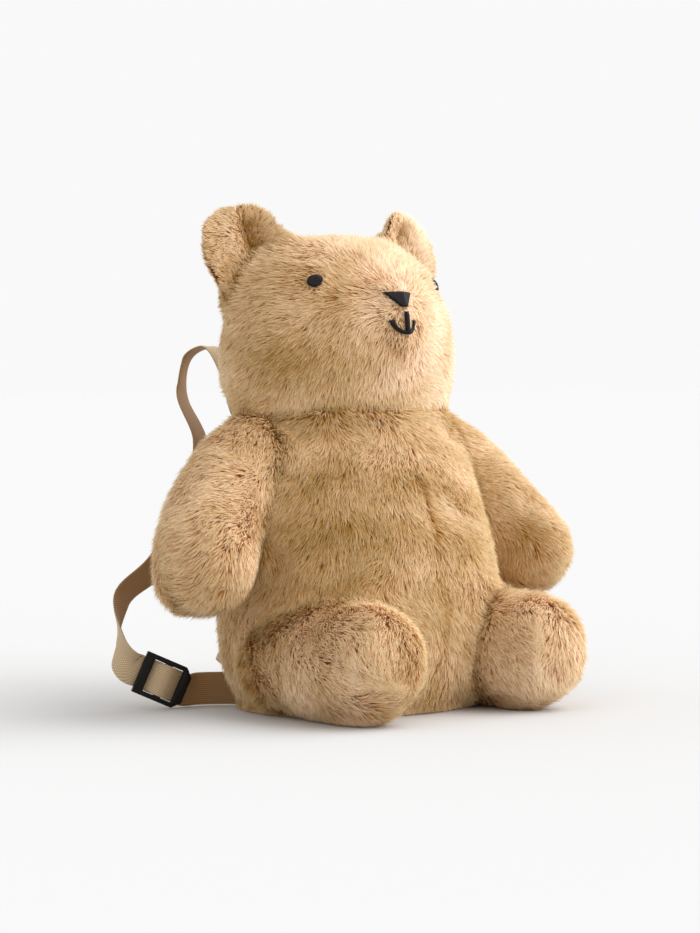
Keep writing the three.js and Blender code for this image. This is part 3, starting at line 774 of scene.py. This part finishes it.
# Stops of the webbing behind both end bars of an adjuster and before its middle bar
def threaded(middle, along, out, across):
    clear = adjuster_thickness / 2 + webbing_thickness / 2 + webbing_slack
    inside = half_length - adjuster_end_bar
    stops = [
        (-half_length - adjuster_end_bar, -clear), (-half_length, -clear), (-inside, -clear),
        (-adjuster_middle_bar / 2, clear), (adjuster_middle_bar / 2, clear),
        (inside, -clear), (half_length, -clear),
    ]
    return [(middle + along * far + out * up, -across) for far, up in stops]


# Stops of the webbing's free run. A row with two shares lies on the floor, on its edge.
def routed(rows):
    on_edge = webbing_width / 2 + 2 * gap
    stops = []
    for side, rear, *rest in rows:
        height = rest[0] * torso_height if rest else on_edge
        lean = Vector(rest[1:]) if rest else Vector((0, 0, -1))
        stops.append((Vector((side * torso_half_width, rear * torso_back, height)), lean))
    return stops


# Smooth course through its stops that never loops where they lie close together
def course(stops, steps):
    stops = np.array(stops, dtype=float)
    stops = np.vstack([2 * stops[0] - stops[1], stops, 2 * stops[-1] - stops[-2]])
    rows = []
    for i in range(1, len(stops) - 2):
        p0, p1, p2, p3 = stops[i - 1:i + 3]
        d0, d1, d2 = (max(np.linalg.norm(q - p), 1e-12) ** 0.5 for p, q in ((p0, p1), (p1, p2), (p2, p3)))
        d1 = d1 if d1 > 1e-4 else 1.0
        d0 = d0 if d0 > 1e-4 else d1
        d2 = d2 if d2 > 1e-4 else d1
        t1 = ((p1 - p0) / d0 - (p2 - p0) / (d0 + d1) + (p2 - p1) / d1) * d1
        t2 = ((p2 - p1) / d1 - (p3 - p1) / (d1 + d2) + (p3 - p2) / d2) * d1
        t = (np.arange(steps) / steps)[:, None]
        rows.append(
            p1 + t1 * t + (-3 * p1 + 3 * p2 - 2 * t1 - t2) * t ** 2 + (2 * p1 - 2 * p2 + t1 + t2) * t ** 3
        )
    return np.vstack([*rows, stops[-2][None]])


# One strap: a ribbed band along its course, with the side of its face kept in the UV map
def strap(part, upper, in_adjuster, lower):
    stops = upper + in_adjuster + lower
    turned_row = (len(upper) + len(in_adjuster) - 2) * steps_per_row
    line = course([place for place, lean in stops], steps_per_row)
    leans = course([lean for place, lean in stops], steps_per_row)
    along = unit(np.gradient(line, axis=0))
    across = unit(leans - along * (leans * along).sum(1, keepdims=True))
    through = np.cross(along, across)
    steps = np.linalg.norm(np.diff(line, axis=0), axis=1)
    travel = np.concatenate([[0], np.cumsum(steps)])

    columns = rib_count * points_per_rib + 1
    u = np.linspace(0, 1, columns)
    edge = np.minimum(1, np.minimum(u, 1 - u) * edge_taper) ** 0.5
    rise = (webbing_thickness / 2 - rib_rise * (0.5 + 0.5 * np.cos(2 * math.pi * rib_count * u))) * edge
    profile = [(x, h) for x, h in zip(u, rise)] + [(x, -h) for x, h in zip(u[-2:0:-1], rise[-2:0:-1])]
    ring = len(profile)
    x = np.array([p[0] - 0.5 for p in profile]) * webbing_width
    h = np.array([p[1] for p in profile])
    places = line[:, None] + across[:, None] * x[None, :, None] + through[:, None] * h[None, :, None]
    count = len(line)
    faces, uvs = [], []
    for k in range(count - 1):
        for s in range(ring):
            n = (s + 1) % ring
            faces.append((k * ring + s, k * ring + n, (k + 1) * ring + n, (k + 1) * ring + s))
            inner_face = (s < columns - 1) == (k < turned_row)
            left, right = (profile[at][0] * rib_count + 2 * rib_count * inner_face for at in (s, n))
            low, high = travel[k] / pick_spacing, travel[k + 1] / pick_spacing
            uvs += [(left, low), (right, low), (right, high), (left, high)]
    for cap in (tuple(reversed(range(ring))), tuple((count - 1) * ring + s for s in range(ring))):
        faces.append(cap)
        uvs += [(0, 0)] * ring
    mesh = bpy.data.meshes.new(f"{part}_webbing")
    mesh.from_pydata(places.reshape(-1, 3), [], faces, shade_flat=False)
    mesh.uv_layers.new(name="Weave").data.foreach_set("uv", np.array(uvs, dtype=np.float32).ravel())
    obj = bpy.data.objects.new(f"{part}_webbing", mesh)
    bpy.context.scene.collection.objects.link(obj)
    select_only(obj)
    bpy.ops.object.mode_set(mode="EDIT")
    bpy.ops.mesh.select_all(action="SELECT")
    bpy.ops.mesh.normals_make_consistent(inside=False)
    bpy.ops.object.mode_set(mode="OBJECT")
    mesh.materials.append(webbing)
    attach(obj, "root")
    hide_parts(part)
    return obj


right_adjuster = adjuster_place(-1.105, 0.85, -20, -24)
left_adjuster = adjuster_place(0.15, 1.79, -60, -20)
strap("strap_right", routed(right_upper_route), threaded(*right_adjuster), routed(right_lower_route))
strap("strap_left", routed(left_upper_route), threaded(*left_adjuster), routed(left_lower_route))

# Slide adjusters: black acetal, injection moulded, with rounded edges and a fine spark-eroded
# grain from the mould
grain_size = 0.25 * MM

acetal = new_material("moulded black acetal")
tree = acetal.node_tree
where = add_node(tree, "ShaderNodeTexCoord")
grain = add_node(
    tree, "ShaderNodeTexNoise", {"Vector": where.outputs["Object"], "Scale": 1 / (2 * grain_size), "Detail": 2.0}
)
uneven = add_node(
    tree, "ShaderNodeMapRange",
    {"Value": grain.outputs["Fac"], "From Min": 0.3, "From Max": 0.7, "To Min": 0.36, "To Max": 0.5},
)
dull = add_node(tree, "ShaderNodeValToRGB", {"Fac": grain.outputs["Fac"]})
dull.color_ramp.elements[0].color = linear("#0B0A09")
dull.color_ramp.elements[1].color = linear("#141211")
raised = add_node(
    tree, "ShaderNodeBump", {"Height": grain.outputs["Fac"], "Strength": 0.15, "Distance": 0.05 * MM}
)
finish_material(
    tree, Base_Color=dull.outputs["Color"], Roughness=uneven.outputs["Result"], Specular_IOR_Level=0.2,
    Normal=raised.outputs["Normal"],
)

for name in ("adjuster_right", "adjuster_left"):
    moulded = bpy.data.objects.new(f"{name}_moulding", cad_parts[name].data.copy())
    bpy.context.scene.collection.objects.link(moulded)
    moulded.data.materials.clear()
    moulded.data.materials.append(acetal)
    select_only(moulded)
    bpy.ops.object.mode_set(mode="EDIT")
    bpy.ops.mesh.select_all(action="SELECT")
    bpy.ops.mesh.remove_doubles(threshold=0.01 * MM)
    bpy.ops.mesh.tris_convert_to_quads(face_threshold=math.radians(1), shape_threshold=math.pi)
    bpy.ops.object.mode_set(mode="OBJECT")
    rounding = moulded.modifiers.new("rounding", "BEVEL")
    rounding.width = 0.8 * MM
    rounding.segments = 3
    rounding.limit_method = "ANGLE"
    rounding.angle_limit = math.radians(30)
    bpy.ops.object.modifier_apply(modifier=rounding.name)
    bpy.ops.object.shade_smooth_by_angle(angle=math.radians(35))
    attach(moulded, "root")
    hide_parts(name)

# Zip: woven polyester tape with moulded teeth and a puller, sewn behind the slot in the back.
# The photo doesn't show it, so it stays the plain solid, in the colour of the tape.
zip_tape = new_material("dyed polyester zip tape")
tree = zip_tape.node_tree
where = add_node(tree, "ShaderNodeTexCoord")
twill = add_node(
    tree, "ShaderNodeTexWave",
    {"Vector": where.outputs["Object"], "Scale": 1 / (4 * MM), "Distortion": 0.3},
    bands_direction="DIAGONAL",
)
dye = add_node(tree, "ShaderNodeValToRGB", {"Fac": twill.outputs["Fac"]})
dye.color_ramp.elements[0].color = linear("#8A6540")
dye.color_ramp.elements[1].color = linear("#A88358")
finish_material(tree, Base_Color=dye.outputs["Color"], Roughness=0.75)
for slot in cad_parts["back_zip"].material_slots:
    slot.material = zip_tape

# Studio: a pale floor that runs out to a pale surround, a broad soft light from the upper
# right, and a camera low in front of the bear's right side. Colours are shown as they are.
floor_size = 60

bpy.ops.object.select_all(action="DESELECT")
bpy.ops.mesh.primitive_plane_add(size=floor_size, location=(0, 0, -0.15 * MM))
floor = bpy.context.active_object
floor.name = "floor"
floor_paint = new_material("matte pale studio paint")
finish_material(floor_paint.node_tree, Base_Color=linear("#D2D2D2"), Roughness=1.0, Specular_IOR_Level=0.0)
floor.data.materials.append(floor_paint)

surround = bpy.data.worlds.new("pale surround")
surround.use_nodes = True
surround.node_tree.nodes["Background"].inputs["Color"].default_value = linear("#F9F9F9")
surround.node_tree.nodes["Background"].inputs["Strength"].default_value = 1.0
bpy.context.scene.world = surround
bpy.context.scene.view_settings.view_transform = "Standard"

camera_turn = math.radians(-40)
camera_rise = math.radians(1.8)
camera_distance = 1.7675
camera_target = Vector((0.0006, 0.0055, 0.1472))
back_way = Vector((
    math.sin(camera_turn) * math.cos(camera_rise), -math.cos(camera_turn) * math.cos(camera_rise),
    math.sin(camera_rise),
))
right_way = Vector((math.cos(camera_turn), math.sin(camera_turn), 0))

key_way = right_way * 0.95 + Vector((0, 0, 0.6))
key = bpy.data.lights.new("key", "SUN")
key.energy = 3.1
key.angle = math.radians(80)
lamp = bpy.data.objects.new("key", key)
bpy.context.scene.collection.objects.link(lamp)
lamp.rotation_euler = key_way.to_track_quat("Z", "Y").to_euler()

lens = bpy.data.cameras.new("camera")
lens.lens = 110
lens.sensor_width = 36
lens.sensor_fit = "AUTO"
lens.clip_end = 50
camera = bpy.data.objects.new("camera", lens)
bpy.context.scene.collection.objects.link(camera)
camera.location = camera_target + back_way * camera_distance
camera.rotation_euler = back_way.to_track_quat("Z", "Y").to_euler()
bpy.context.scene.camera = camera
